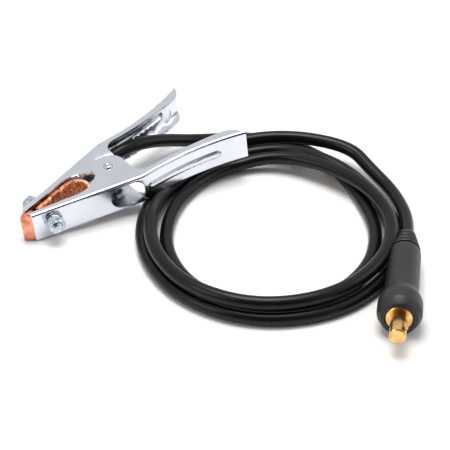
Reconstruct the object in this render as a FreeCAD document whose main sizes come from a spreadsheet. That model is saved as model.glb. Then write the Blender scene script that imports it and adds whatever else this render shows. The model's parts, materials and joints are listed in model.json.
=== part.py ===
import FreeCAD, Part
import math
import os
import Sketcher

# Welding ground clamp with its cable and plug, in millimetres.
# X runs along the clamp from the jaws to the handles, Y towards the fixed far arm, Z up.
# The jaw tips stand on the surface; the clamp is pitched so that its handles are raised.

V = FreeCAD.Vector
X, Y, Z = V(1, 0, 0), V(0, 1, 0), V(0, 0, 1)
ORIGIN = V(0, 0, 0)

doc = FreeCAD.newDocument("GroundClamp")
sheet = doc.addObject("Spreadsheet::Sheet", "Dims")

dims = {
    "pitch": 6.5,              # nose-down tilt of the whole clamp, degrees
    "pivot_offset": 9.76,      # from the middle of the clamp's footprint back to the pivot
    "web_height": 27.0,        # height of the stamped channels
    "gauge": 1.5,              # steel sheet
    "nest_gap": 0.15,          # between the two nested ears
    "jaw_reach": 82.0,         # pivot to the end of the web at the jaws
    "jaw_half": 7.44,          # centre plane to the outside of the web at the jaws
    "knee_reach": 12.0,        # pivot to the knee where jaw part and handle meet
    "knee_half": 31.9,         # centre plane to the outside of the web at the knee
    "flare_start": 25.0,       # where the handle starts to bend outwards
    "flare_radius": 225.0,
    "handle_reach": 109.0,
    "bend_radius": 2.4,        # outside radius of the flange bends
    "lobe_radius": 10.6,       # the far arm's ear round the rivet, under the near arm's
    "cover_radius": 14.8,      # the near arm's ear, which fills the step in the far arm
    "joggle_radius": 15.0,     # the far arm's ears step inwards inside this circle
    "window_length": 30.0,     # oval window in the web beside the pivot
    "window_height": 21.0,
    "bead_radius": 5.8,        # stiffening bead pressed into the handle web
    "bead_offset": 4.2,        # depth of the bead's axis behind the web's outside face
    "rivet_radius": 2.5,
    "rivet_head_radius": 4.0,
    "rivet_head_height": 1.6,
    "rivet_clearance": 0.1,
    "sleeve_radius": 5.0,
    "spring_wire": 2.6,
    "spring_radius": 8.6,
    "spring_pitch": 3.1,
    "spring_turns": 4,
    "spring_leg": 44.5,
    "spring_leg_angle": 25.0,
    "pad_gauge": 2.0,          # copper jaw pads
    "pad_height": 23.4,
    "pad_gap": 0.2,            # each pad's distance from the centre plane
    "braid_reach": 72.0,       # pivot to the braid's and the lug's own datum on the web
    "bolt_offset": 6.0,        # from that datum to the jaw bolts, along the web
    "bolt_lift": 2.4,          # and above the middle of the web
    "bolt_radius": 4.0,
    "bolt_length": 12.3,
    "bolt_head_width": 12.0,
    "bolt_head_height": 2.0,
    "nut_width": 13.0,
    "nut_height": 6.5,
    "washer_radius": 8.0,
    "washer_gauge": 1.4,
    "spring_washer_radius": 7.0,
    "spring_washer_gauge": 1.8,
    "braid_height": 20.0,
    "braid_gauge": 3.4,
    "ferrule_length": 9.0,
    "ferrule_wall": 0.8,
    "lug_gauge": 1.8,
    "lug_width": 16.0,
    "barrel_radius": 5.0,
    "barrel_length": 21.0,
    "core_radius": 3.5,        # bare conductor of 25 square millimetres, with its strands
    "cord_radius": 5.6,        # jacket of the welding cable
    "coil_height": 21.0,
    "coil_low_height": 9.4,    # lower where the clamp swings over the coil
    "coil_clear_radius": 134.0,
    "plug_length": 114.0,
    "plug_body_radius": 12.9,
    "plug_collar_radius": 17.3,
    "plug_tail_radius": 7.7,
    "plug_heading": -138.0,    # degrees from +X, rear to front
    "plug_rise": 3.2,          # degrees, rear to front
    "pin_radius": 6.5,
    "pin_length": 22.0,
    "pin_ring_radius": 10.5,
    "pin_body_radius": 8.6,
    "pin_body_length": 46.0,
}
for row, (alias, value) in enumerate(dims.items(), 1):
    sheet.set("A%d" % row, alias)
    sheet.set("B%d" % row, str(value))
    sheet.setAlias("B%d" % row, alias)
doc.recompute()


def dim(alias):
    return float(sheet.get(alias))


def bind(thing, **expressions):
    for name, formula in expressions.items():
        for alias in dims:
            formula = formula.replace("#" + alias + "#", "Dims." + alias)
        thing.setExpression(name, formula)
    return thing


def primitive(kind, name, place=None, **expressions):
    thing = bind(doc.addObject("Part::" + kind, name), **expressions)
    if place is not None:
        thing.Placement = place
    return thing


def at(x=0.0, y=0.0, z=0.0, axis=Z, angle=0.0):
    return FreeCAD.Placement(V(x, y, z), FreeCAD.Rotation(axis, angle))


def cut(name, base, *tools):
    tool = tools[0] if len(tools) == 1 else fuse(name + "_tools", *tools)
    thing = doc.addObject("Part::Cut", name)
    thing.Base, thing.Tool = base, tool
    return thing


def fuse(name, *pieces):
    thing = doc.addObject("Part::MultiFuse", name)
    thing.Shapes = list(pieces)
    return thing


def common(name, *pieces):
    thing = doc.addObject("Part::MultiCommon", name)
    thing.Shapes = list(pieces)
    return thing


nodes = {}


def node(thing, name, place=None):
    """Give a finished sub-part its node name and its place in the clamp."""
    thing.Label = name
    if place is not None:
        thing.Placement = place * thing.Placement
    nodes[name] = thing
    return thing


# ---- sketches ---------------------------------------------------------------------------

def newBody(name):
    return doc.addObject("PartDesign::Body", name)


def newSketch(body, role="XY_Plane"):
    sketch = body.newObject("Sketcher::SketchObject", body.Name + "_sketch")
    plane = [f for f in body.Origin.OriginFeatures if f.Role == role][0]
    sketch.AttachmentSupport = [(plane, "")]
    sketch.MapMode = "FlatFace"
    return sketch


def drawOutline(sketch, steps):
    """Closed outline: each step is an end point, or a through point and an end point."""
    last = steps[0]
    for step in steps[1:] + steps[:1]:
        if len(step) == 2:
            through, end = step
            sketch.addGeometry(Part.Arc(V(*last), V(*through), V(*end)))
        else:
            end = step
            sketch.addGeometry(Part.LineSegment(V(*last), V(*end)))
        last = end
    return sketch


def pad(body, sketch, length, name="Pad"):
    feature = body.newObject("PartDesign::Pad", body.Name + "_" + name)
    feature.Profile = sketch
    feature.SideType = "Symmetric"
    bind(feature, Length=length)
    sketch.Visibility = False
    return feature


def pocket(body, sketch, length, name="Pocket"):
    doc.recompute()
    before = body.Shape.Volume
    feature = body.newObject("PartDesign::Pocket", body.Name + "_" + name)
    feature.Profile = sketch
    feature.SideType = "Symmetric"
    bind(feature, Length=length)
    doc.recompute()
    if body.Shape.Volume > before - 1:
        raise RuntimeError(body.Name + ": the pocket removes nothing")
    return feature


def revolve(name, profile):
    """A turned piece: the profile's points are (radius, height) about +Z."""
    body = newBody(name)
    sketch = newSketch(body, "XZ_Plane")
    drawOutline(sketch, [(r, h, 0) for r, h in profile])
    turn = body.newObject("PartDesign::Revolution", name + "_turn")
    turn.Profile = sketch
    turn.ReferenceAxis = (sketch, ["V_Axis"])
    turn.Angle = 360
    return body


# ---- places -----------------------------------------------------------------------------

tilt = math.radians(dim("pitch"))
half_height = dim("web_height") / 2
pivot_height = dim("jaw_reach") * math.sin(tilt) + half_height * math.cos(tilt)
pivot_x = -dim("pivot_offset")
clamp = FreeCAD.Placement(V(pivot_x, 0, pivot_height), FreeCAD.Rotation(Y, -dim("pitch")))
mirrored = FreeCAD.Placement(ORIGIN, FreeCAD.Rotation(X, 180))
far_side = clamp
near_side = clamp * mirrored
sides = {"far": far_side, "near": near_side}

jaw_run = dim("knee_reach") + dim("jaw_reach")
jaw_slope = math.degrees(math.atan2(dim("knee_half") - dim("jaw_half"), jaw_run))
jaw_turn = FreeCAD.Rotation(Z, jaw_slope)


def webPoint(reach):
    """Point on the outside of the jaw web, a given distance in front of the pivot."""
    share = (dim("jaw_reach") - reach) / jaw_run
    return V(-reach, dim("jaw_half") + share * (dim("knee_half") - dim("jaw_half")), 0)


# Frame on the jaw web: x along the web towards the pivot, y outwards, origin at its datum.
web = FreeCAD.Placement(webPoint(dim("braid_reach")), jaw_turn)


def boltPlace(side):
    """The bolt's own place on the jaw web; the near arm is upside down, so its lift turns round."""
    lift = dim("bolt_lift") if side == "far" else -dim("bolt_lift")
    return web * at(dim("bolt_offset"), 0, lift)


# ---- arms -------------------------------------------------------------------------------

def flareHalf(x, radius):
    """Distance from the centre plane to an arc that leaves the knee line at flare_start."""
    run = x - dim("flare_start")
    return dim("knee_half") + dim("flare_radius") - math.sqrt(radius ** 2 - run ** 2)


def armOutline(lobe):
    """The flange seen from above: web line outside, almond and notch edges inside."""
    jaw, half = -dim("jaw_reach"), dim("jaw_half")
    knee, outside = dim("knee_reach"), dim("knee_half")
    start, end, radius = dim("flare_start"), dim("handle_reach"), dim("flare_radius")
    mid = (start + end) / 2
    return [
        (jaw, half, 0),
        (knee, outside, 0),
        (start, outside, 0),
        ((mid, flareHalf(mid, radius), 0), (end, flareHalf(end, radius), 0)),
        (end - 1.8, flareHalf(end, radius) - 4.0, 0),
        ((end - 5.0, 38.3, 0), (end - 13.0, 32.9, 0)),
        ((62.0, 27.3, 0), (start, 25.3, 0)),
        ((16.7, 22.3, 0), (13.6, 14.0, 0)),
        (lobe, -1.0, 0),
        ((0, -lobe, 0), (-0.89 * lobe, -0.46 * lobe, 0)),
        (-14.5, 1.5, 0),
        ((-23.5, 8.8, 0), (-38.0, 11.6, 0)),
        (jaw, 2.2, 0),
    ]


def insideOutline():
    """Everything inside the web, to be taken out of the solid arm between the flanges."""
    gauge = dim("gauge")
    slope = math.radians(jaw_slope)
    drop = gauge / math.cos(slope)
    before = webPoint(dim("jaw_reach") + 14)
    knee_inside = dim("knee_reach") + gauge * math.tan(slope / 2)
    start, outside, radius = dim("flare_start"), dim("knee_half"), dim("flare_radius") + gauge
    end, mid = dim("handle_reach") + 8, 67.0
    return [
        (before.x, before.y - drop, 0),
        (knee_inside, outside - gauge, 0),
        (start, outside - gauge, 0),
        ((mid, flareHalf(mid, radius), 0), (end, flareHalf(end, radius), 0)),
        (end, -30.0, 0),
        (before.x, -30.0, 0),
    ]


def bendEdges(shape):
    """The long outside edges where the web meets the two flanges."""
    found = []
    for number, edge in enumerate(shape.Edges, 1):
        ends = [vertex.Point for vertex in edge.Vertexes]
        on_face = all(abs(abs(p.z) - half_height) < 1e-3 for p in ends)
        level = abs(ends[0].z - ends[-1].z) < 1e-3
        middle = edge.valueAt((edge.FirstParameter + edge.LastParameter) / 2)
        if middle.x < dim("knee_reach"):
            line = webPoint(-middle.x).y
        else:
            line = flareHalf(max(middle.x, dim("flare_start")), dim("flare_radius"))
        if on_face and level and abs(middle.y - line) < 0.05 and edge.Length > 8:
            found.append("Edge%d" % number)
    return found


def channel(name, lobe):
    """Web and two flanges, bent from one sheet."""
    body = newBody(name + "_channel")
    drawn = drawOutline(newSketch(body), armOutline(lobe))
    solid = pad(body, drawn, "#web_height#")
    doc.recompute()
    bend = body.newObject("PartDesign::Fillet", name + "_bend")
    bend.Base = (solid, bendEdges(solid.Shape))
    bind(bend, Radius="#bend_radius#")
    inside = drawOutline(newSketch(body), insideOutline())
    pocket(body, inside, "#web_height# - 2 * #gauge#")
    return body


def slotPrism(name, depth_from, depth):
    """Oval through the web, standing on the centre line of the window."""
    half_span = "(#window_length# - #window_height#) / 2"
    block = primitive("Box", name + "_block", None, Width=str(depth),
                      Length="#window_length# - #window_height#", Height="#window_height#")
    bind(block, **{"Placement.Base.x": "-2 - " + half_span,
                   "Placement.Base.z": "-#window_height# / 2"})
    block.Placement.Base.y = depth_from
    ends = []
    for sign in ("-", "+"):
        end = primitive("Cylinder", name + "_end", at(0, depth_from, 0, X, -90),
                        Radius="#window_height# / 2", Height=str(depth))
        bind(end, **{"Placement.Base.x": "-2 " + sign + " " + half_span})
        ends.append(end)
    return fuse(name, block, *ends)


def beadTool(name, radius):
    """Long bead that follows the flare of the handle, with round ends."""
    centre_y = dim("knee_half") + dim("flare_radius")
    sweep_radius = dim("flare_radius") + dim("bead_offset")
    low, high = math.radians(-1.4), math.radians(15.0)
    ring = primitive("Torus", name + "_ring", Radius2=radius, Angle3=str(math.degrees(high - low)),
                     Radius1="#flare_radius# + #bead_offset#")
    ring.Placement = at(dim("flare_start"), centre_y, 0, Z, -90 + math.degrees(low))
    caps = []
    for angle in (low, high):
        spot = at(dim("flare_start") + sweep_radius * math.sin(angle),
                  centre_y - sweep_radius * math.cos(angle))
        caps.append(primitive("Sphere", name + "_cap", spot, Radius=radius))
    return fuse(name, ring, *caps)


def makeArm(side):
    """One stamped arm: the far arm's ears are joggled inwards to sit inside the near arm's."""
    name, joggled = side + "_arm", side == "far"
    lobe = dim("lobe_radius") if joggled else dim("cover_radius")
    arm = channel(name, lobe)
    tall, step = "#web_height#", dim("gauge") + dim("nest_gap")
    ear_top = half_height - step
    if joggled:
        well = primitive("Cylinder", name + "_well", at(0, 0, -half_height),
                         Radius="#joggle_radius#", Height=tall)
        drawn = drawOutline(doc.addObject("Sketcher::SketchObject", name + "_plan"), armOutline(lobe))
        prism = doc.addObject("Part::Extrusion", name + "_prism")
        prism.Base, prism.Dir, prism.Symmetric, prism.Solid = drawn, Z, True, True
        bind(prism, LengthFwd=tall)
        ring_out = primitive("Cylinder", name + "_ring_out", at(0, 0, -half_height),
                             Radius="#joggle_radius# + #gauge#", Height=tall)
        ear_shell = cut(name + "_shell", ring_out,
                        primitive("Cylinder", name + "_hollow", at(0, 0, -ear_top + dim("gauge")),
                                  Radius="2 * #joggle_radius#",
                                  Height=str(2 * (ear_top - dim("gauge")))),
                        primitive("Cylinder", name + "_top_room", at(0, 0, ear_top),
                                  Radius="#joggle_radius#", Height=tall),
                        primitive("Cylinder", name + "_low_room", at(0, 0, -ear_top - 2 * half_height),
                                  Radius="#joggle_radius#", Height=tall))
        ears = common(name + "_ears", prism, ear_shell)
        arm = fuse(name + "_joined", cut(name + "_open", arm, well), ears)
    flare_centre = dim("knee_half") + dim("flare_radius")
    outside = primitive("Cylinder", name + "_bead_room", at(dim("flare_start"), flare_centre, -8),
                        Radius="#flare_radius# + #gauge# / 2", Height="16")
    bead = common(name + "_bead_out", beadTool(name + "_bead", "#bead_radius#"), outside)
    raised = fuse(name + "_beaded", arm, bead)
    rivet_hole = primitive("Cylinder", name + "_bore", at(0, 0, -20), Height="40",
                           Radius="#rivet_radius# + #rivet_clearance#")
    bolt_hole = primitive("Cylinder", name + "_bolt_hole", Height="8",
                          Radius="#bolt_radius# + 0.25")
    bolt_hole.Placement = boltPlace(side) * at(0, 2, 0, X, 90)
    groove = beadTool(name + "_groove", "#bead_radius# - #gauge#")
    window = slotPrism(name + "_window", 14, 24)
    return cut(name, raised, rivet_hole, bolt_hole, groove, window)


for side in ("far", "near"):
    node(makeArm(side), side + "_arm", sides[side])


# ---- pivot ------------------------------------------------------------------------------

def makeRivet():
    r, head, rise = dim("rivet_radius"), dim("rivet_head_radius"), dim("rivet_head_height")
    seat = half_height + 0.05
    return revolve("rivet", [(0, -seat - rise), (head * 0.6, -seat - rise), (head, -seat - rise / 2),
                             (head, -seat), (r, -seat), (r, seat), (head, seat),
                             (head, seat + rise / 2), (head * 0.6, seat + rise), (0, seat + rise)])


def makeSleeve():
    inner = half_height - 2 * dim("gauge") - dim("nest_gap")
    low, bore = -inner + 0.1, dim("rivet_radius") + 0.1
    outer = dim("sleeve_radius")
    return revolve("sleeve", [(bore, low), (outer, low), (outer, -low), (bore, -low)])


def makeSpring():
    """Torsion spring: turns round the sleeve and a straight leg along each handle."""
    angle = dim("spring_leg_angle")
    start = 90 + angle
    turns = dim("spring_turns") + (360 - 2 * start) / 360
    rise = dim("spring_pitch") * turns
    helix = primitive("Helix", "spring_line", at(0, 0, -rise / 2, Z, start), Radius="#spring_radius#",
                      Pitch="#spring_pitch#", Height=str(rise))
    section = primitive("Circle", "spring_section", Radius="#spring_wire# / 2")
    lean = math.degrees(math.atan2(dim("spring_pitch"), 2 * math.pi * dim("spring_radius")))
    section.Placement = helix.Placement * FreeCAD.Placement(
        V(dim("spring_radius"), 0, 0), FreeCAD.Rotation(X, -90 + lean))
    doc.recompute()
    coil = doc.addObject("Part::Sweep", "spring_turns_solid")
    coil.Sections, coil.Spine = [section], (helix, ["Edge1"])
    coil.Solid, coil.Frenet = True, True
    legs = []
    for side, level in ((1, -rise / 2), (-1, rise / 2)):
        turn = side * (90 + angle)
        root = FreeCAD.Rotation(Z, turn).multVec(V(dim("spring_radius"), 0, 0))
        way = FreeCAD.Rotation(Z, side * angle).multVec(X)
        leg = primitive("Cylinder", "spring_leg", Radius="#spring_wire# / 2", Height="#spring_leg#")
        leg.Placement = FreeCAD.Placement(V(root.x, root.y, level), FreeCAD.Rotation(Z, way))
        legs.append(leg)
    return fuse("spring", coil, *legs)


node(makeRivet(), "pivot_rivet", clamp)
node(makeSleeve(), "pivot_sleeve", clamp)
node(makeSpring(), "torsion_spring", clamp)


# ---- jaws -------------------------------------------------------------------------------

def stripOutline(points, gauge):
    """Outline of a strip of even thickness whose outside follows the points."""
    flat = [V(x, y, 0) for x, y in points]
    inner = []
    for i, point in enumerate(flat):
        way_in = (point - flat[i - 1]).normalize() if i else None
        way_out = (flat[i + 1] - point).normalize() if i + 1 < len(flat) else None
        way = (way_in or way_out) + (way_out or way_in)
        way.normalize()
        side = V(-way.y, way.x, 0)
        reach = gauge / math.cos((way_in or way).getAngle(way))
        inner.append(point + side * reach)
    return [tuple(p) for p in flat] + [tuple(p) for p in reversed(inner)]


def makePad(side):
    """Copper jaw pad: base bolted on the web, slanted nose, contact wall on the centre plane."""
    name = side + "_pad"
    gap = dim("pad_gap")
    lift = dim("gauge") / math.cos(math.radians(jaw_slope)) + 0.1
    rear, front = webPoint(58), webPoint(81.5)
    path = [(rear.x, rear.y - lift), (front.x, front.y - lift),
            (-89.4, gap), (-77.0, gap)]
    body = newBody(name)
    sketch = drawOutline(newSketch(body), stripOutline(path, dim("pad_gauge")))
    pad(body, sketch, "#pad_height#")
    hole = primitive("Cylinder", name + "_hole", Height="9", Radius="#bolt_radius# + 0.2")
    hole.Placement = boltPlace(side) * at(0, -0.5, 0, X, 90)
    hole_depth = dim("gauge") + dim("pad_gauge") + 0.6
    hole.setExpression("Height", str(hole_depth))
    return cut(name, body, hole)


def hexagon(name, width, height, place):
    return primitive("Prism", name, place, Polygon="6", Circumradius=width + " / 2 / cos(30)",
                     Height=height)


def makeBolt(name):
    """Thin-headed bolt from inside the pad, out through the web."""
    inside = -(dim("gauge") + 0.1 + dim("pad_gauge") + 0.05)
    shank = primitive("Cylinder", name + "_shank", at(0, inside, 0, X, -90),
                      Radius="#bolt_radius#", Height="#bolt_length# + #gauge# + #pad_gauge#")
    tip = primitive("Cone", name + "_tip", Radius1="#bolt_radius#", Radius2="#bolt_radius# - 0.8",
                    Height="0.8")
    tip.Placement = at(0, inside + dim("bolt_length") + dim("gauge") + dim("pad_gauge"), 0, X, -90)
    head = hexagon(name + "_head", "#bolt_head_width#", "#bolt_head_height#",
                   at(0, inside - dim("bolt_head_height"), 0, X, -90))
    return fuse(name, shank, tip, head)


def ring(name, outer, inner, height, place):
    disc = primitive("Cylinder", name + "_disc", place, Radius=outer, Height=height)
    hole = primitive("Cylinder", name + "_hole", place, Radius=inner, Height=height)
    return cut(name, disc, hole)


def makeNut(name, seat):
    body = hexagon(name + "_hex", "#nut_width#", "#nut_height#", at(0, seat, 0, X, -90))
    crown = primitive("Cone", name + "_crown", at(0, seat, 0, X, -90), Height="#nut_height#",
                      Radius1="#nut_width# / 2 + 4.4", Radius2="#nut_width# / 2 + 0.3")
    bore = primitive("Cylinder", name + "_bore", at(0, seat - 1, 0, X, -90),
                     Radius="#bolt_radius#", Height="#nut_height# + 2")
    return cut(name, common(name + "_solid", body, crown), bore)


def makeSpringWasher(name, seat):
    """Split ring under the nut."""
    whole = ring(name + "_ring", "#spring_washer_radius#", "#bolt_radius# + 0.2",
                 "#spring_washer_gauge#", at(0, seat, 0, X, -90))
    gap = primitive("Box", name + "_gap", at(3, seat - 1, -0.5, Z, 12), Length="8", Width="5",
                    Height="1")
    return cut(name, whole, gap)


def makeFerrule(name):
    """Flat copper band crimped round each end of the braid, behind the jaw pad."""
    room = dim("braid_gauge") + 0.1
    wall, tall = dim("ferrule_wall"), dim("braid_height") + 0.1
    centre = braid_level
    outer = primitive("Box", name + "_outer", Length="#ferrule_length#",
                      Width="#braid_gauge# + 0.1 + 2 * #ferrule_wall#",
                      Height="#braid_height# + 0.1 + 2 * #ferrule_wall#")
    outer.Placement = web * at(ferrule_start, centre - room / 2 - wall, -tall / 2 - wall)
    inner = primitive("Box", name + "_inner", Width="#braid_gauge# + 0.1",
                      Length="#ferrule_length# + 2", Height="#braid_height# + 0.1")
    inner.Placement = web * at(ferrule_start - 1, centre - room / 2, -tall / 2)
    return cut(name, outer, inner)


braid_start = -1.5                         # along the web from its datum
ferrule_start = 16.0
braid_level = -7.6                          # from the outside of the web to the braid's middle

for side, place in sides.items():
    washer_seat = 0.05
    split_seat = washer_seat + dim("washer_gauge") + 0.02
    nut_seat = split_seat + dim("spring_washer_gauge") + 0.02
    on_web = place * boltPlace(side)
    node(makePad(side), side + "_jaw_pad", place)
    node(makeBolt(side + "_bolt"), side + "_jaw_bolt", on_web)
    node(ring(side + "_washer", "#washer_radius#", "#bolt_radius# + 0.3", "#washer_gauge#",
              at(0, washer_seat, 0, X, -90)), side + "_flat_washer", on_web)
    node(makeSpringWasher(side + "_split", split_seat), side + "_spring_washer", on_web)
    node(makeNut(side + "_nut", nut_seat), side + "_jaw_nut", on_web)
    node(makeFerrule(side + "_ferrule"), side + "_braid_ferrule", place)


def makeBraid():
    """Flat braid on edge: from one pad back towards the pivot, a soft fold, and out again."""
    half = dim("braid_gauge") / 2
    outer = [web.multVec(V(run, braid_level + half, 0)) for run in (braid_start, 38.0)]
    inner = [web.multVec(V(run, braid_level - half, 0)) for run in (braid_start, 38.0)]
    tip = -21.0
    outline = [
        (outer[0].x, outer[0].y, 0), (outer[1].x, outer[1].y, 0),
        ((tip, 0, 0), (outer[1].x, -outer[1].y, 0)),
        (outer[0].x, -outer[0].y, 0), (inner[0].x, -inner[0].y, 0),
        (inner[1].x, -inner[1].y, 0),
        ((tip - 2 * half, 0, 0), (inner[1].x, inner[1].y, 0)),
        (inner[0].x, inner[0].y, 0),
    ]
    body = newBody("braid")
    pad(body, drawOutline(newSketch(body), outline), "#braid_height#")
    return body


node(makeBraid(), "copper_braid", clamp)


# ---- cable lug --------------------------------------------------------------------------

barrel_start = 50.5                        # along the web from its datum
barrel_level = -9.4


def makeLug():
    """Tinned lug: flat tongue flattened from the tube, then the round crimped barrel."""
    tongue = primitive("Box", "lug_tongue", Length="27", Width="#lug_gauge#", Height="#lug_width#")
    tongue.Placement = web * at(15.4, -1.7 - dim("lug_gauge"), -dim("lug_width") / 2)
    neck = primitive("Wedge", "lug_neck")
    neck.Xmin, neck.Xmax, neck.X2min, neck.X2max = -8, 8, -4.6, 4.6
    neck.Ymin, neck.Ymax = 0, 8.4
    neck.Zmin, neck.Zmax, neck.Z2min, neck.Z2max = 0, 1.8, 3.0, 6.4
    neck_turn = FreeCAD.Rotation(Z, X, -Y, "ZYX")
    neck.Placement = web * FreeCAD.Placement(V(41.8, -1.7, 0), neck_turn)
    barrel = primitive("Cylinder", "lug_barrel", Radius="#barrel_radius#", Height="#barrel_length#")
    barrel.Placement = web * at(barrel_start - 1.0, barrel_level, 0, Y, 90)
    bore = primitive("Cylinder", "lug_bore", Radius="#core_radius# + 0.05", Height="#barrel_length#")
    bore.Placement = web * at(barrel_start + 3.0, barrel_level, 0, Y, 90)
    return cut("lug", fuse("lug_solid", tongue, neck, barrel), bore)


def makeCore():
    core = primitive("Cylinder", "lug_core", Radius="#core_radius#", Height="#barrel_length# - 4.2")
    core.Placement = web * at(barrel_start + 3.1, barrel_level, 0, Y, 90)
    return core


node(makeLug(), "cable_lug", clamp)
node(makeCore(), "cable_core", clamp)


# ---- plug -------------------------------------------------------------------------------

heading = math.radians(dim("plug_heading"))
rise = math.radians(dim("plug_rise"))
plug_way = V(math.cos(heading) * math.cos(rise), math.sin(heading) * math.cos(rise), math.sin(rise))
plug_front = V(47.7, -281.5, dim("plug_collar_radius") + 1.12)
plug_rear = plug_front - plug_way * dim("plug_length")
plug = FreeCAD.Placement(plug_rear, FreeCAD.Rotation(Z, plug_way))


def makePlugSleeve():
    """Rubber sleeve: ribbed tail, long grip, flared collar, stepped bore."""
    tail, grip, collar = dim("plug_tail_radius"), dim("plug_body_radius"), dim("plug_collar_radius")
    length, bore = dim("plug_length"), dim("cord_radius") + 0.1
    profile = [(bore, 0), (tail - 0.6, 0), (tail, 0.8)]
    for rib in range(4):
        low = 1.0 + rib * 4.4
        size = tail + rib * 0.95
        profile += [(size, low + 2.4), (size - 0.7, low + 2.9), (size - 0.7, low + 4.0)]
    brass = dim("pin_body_radius") + 0.1
    step = length - dim("pin_body_length")
    profile += [(grip - 0.6, 22.0), (grip, 26.0), (grip + 0.4, length - 32.0),
                (collar - 0.6, length - 21.0), (collar, length - 18.0), (collar, length - 9.0),
                (collar - 2.6, length), (pin_recess, length), (pin_recess, length - 5.0),
                (brass, length - 5.0), (brass, step - 0.1), (bore, step - 0.1)]
    return revolve("plug_sleeve_turned", profile)


def makePlugPin():
    """Brass pin: clamping body inside the sleeve, shoulder ring, pin with its bayonet key."""
    r, ring_r, inner_r = dim("pin_radius"), dim("pin_ring_radius"), dim("pin_body_radius")
    base = dim("plug_length") - dim("pin_body_length")
    front, reach = dim("plug_length"), dim("plug_length") + dim("pin_length")
    bore = dim("core_radius") + 0.05
    turned = revolve("pin_turned", [
        (bore, base), (inner_r, base), (inner_r, front - 4.9), (ring_r, front - 4.9),
        (ring_r, front - 0.6), (ring_r - 0.6, front), (r, front), (r, reach - 0.8),
        (r - 0.8, reach), (0, reach), (0, base + 30), (bore, base + 28)])
    key = primitive("Box", "pin_key", at(r - 1.5, -2.1, reach - 9.5), Length="3.6", Width="4.2",
                    Height="5.5")
    screw_hole = primitive("Cylinder", "pin_screw_hole", at(0, 0, base + 12, Y, 90),
                           Radius="4.05", Height="12")
    return cut("pin", fuse("pin_keyed", turned, key), screw_hole)


pin_recess = dim("pin_ring_radius") + 0.3

node(makePlugSleeve(), "plug_sleeve", plug)
node(makePlugPin(), "plug_pin", plug)

core_start = dim("plug_length") - dim("pin_body_length") - 6
node(primitive("Cylinder", "plug_core_solid", at(0, 0, core_start + 0.1), Radius="#core_radius#",
               Height="33.5"), "plug_core", plug)
node(primitive("Cylinder", "plug_end_solid", at(0, 0, 0.05), Radius="#cord_radius#",
               Height=str(core_start)), "cable_end", plug)
screw_level = dim("plug_length") - dim("pin_body_length") + 12
node(primitive("Cylinder", "screw_solid", at(dim("core_radius") + 0.1, 0, screw_level, Y, 90),
               Radius="4", Height="#pin_body_radius# - #core_radius# - 1.1"), "plug_grub_screw", plug)


# ---- cable ------------------------------------------------------------------------------

def cordWire(points):
    """Straight runs joined by tangent arcs, each as large as its two runs allow."""
    corners = [V(*p) for p in points]
    edges, radii, start = [], [], corners[0]
    for before, corner, after in zip(corners, corners[1:], corners[2:]):
        way_in = (corner - before).normalize()
        way_out = (after - corner).normalize()
        turn = way_in.getAngle(way_out)
        trim = 0.45 * min((corner - before).Length, (after - corner).Length)
        radii.append(trim / math.tan(turn / 2))
        arc_start, arc_end = corner - way_in * trim, corner + way_out * trim
        chord_middle = (arc_start + arc_end) * 0.5
        sagitta = radii[-1] * (1 - math.cos(turn / 2))
        through = chord_middle + (corner - chord_middle).normalize() * sagitta
        edges.append(Part.LineSegment(start, arc_start).toShape())
        edges.append(Part.Arc(arc_start, through, arc_end).toShape())
        start = arc_end
    edges.append(Part.LineSegment(start, corners[-1]).toShape())
    return Part.Wire(edges), radii


def makeCord(name, points):
    line, radii = cordWire(points)
    radius = dim("cord_radius")
    way = (V(*points[1]) - V(*points[0])).normalize()
    section = Part.Wire([Part.Circle(V(*points[0]), way, radius).toShape()])
    solid = line.makePipeShell([section], True, False)
    expected = math.pi * radius ** 2 * line.Length
    if abs(solid.Volume - expected) > 0.01 * expected:
        raise RuntimeError(name + ": the tube's volume is wrong")
    print(name, "length %.0f" % line.Length, "radii", [round(r) for r in radii])
    tube = doc.addObject("Part::Feature", name)
    tube.Shape = solid
    return tube


def makeCoil():
    """Outer shape of the loose coil: an oval ring, one layer high under the clamp."""
    outer = primitive("Ellipse", "coil_outer_line", at(57.7, -118.5, 0.05, Z, 28),
                      MajorRadius="121", MinorRadius="109.5")
    inner = primitive("Ellipse", "coil_inner_line", at(55.7, -121, -5, Z, 38),
                      MajorRadius="88", MinorRadius="78")
    solids = []
    for line, name, tall in ((outer, "coil_outer", "#coil_height#"), (inner, "coil_inner", "60")):
        body = doc.addObject("Part::Extrusion", name)
        body.Base, body.Dir, body.Solid = line, Z, True
        bind(body, LengthFwd=tall)
        solids.append(body)
    clear = primitive("Cylinder", "coil_clear", Radius="#coil_clear_radius#", Height="60")
    bind(clear, **{"Placement.Base.x": "-#pivot_offset#", "Placement.Base.z": "#coil_low_height#"})
    plug_room = primitive("Cylinder", "coil_plug_room", plug * at(0, 0, -4), Height="60",
                          Radius="#plug_body_radius# + 0.8")
    return cut("coil", solids[0], solids[1], clear, plug_room)


lug_exit = (clamp * web).multVec(V(barrel_start - 0.95 + dim("barrel_length"), barrel_level, 0))
lug_way = (clamp * web).Rotation.multVec(X)
floor_line = dim("cord_radius") + 0.1
lead_route = [
    tuple(lug_exit), tuple(lug_exit + lug_way * 19), (26.2, 22.6, 27.6), (48.2, 21.6, 24.9),
    (69.2, 21.0, 17.6), (88.2, 19.2, 10.2), (105.2, 13.5, 6.4), (121.2, 4.0, floor_line),
    (136.2, -8.0, floor_line), (149.0, -23.0, floor_line), (157.8, -41.0, floor_line),
    (162.5, -61.5, floor_line),
]
tail_route = [
    (160.5, -98.0, 8.0), (169.5, -121.5, 7.6), (169.3, -146.0, 7.8), (160.0, -169.8, 9.2),
    tuple(plug_rear - plug_way * 21), tuple(plug_rear),
]

coil = node(makeCoil(), "cable_coil")
for name, route in (("cable_lead", lead_route), ("cable_tail", tail_route)):
    node(cut(name + "_trimmed", makeCord(name + "_tube", route), coil), name)


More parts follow.
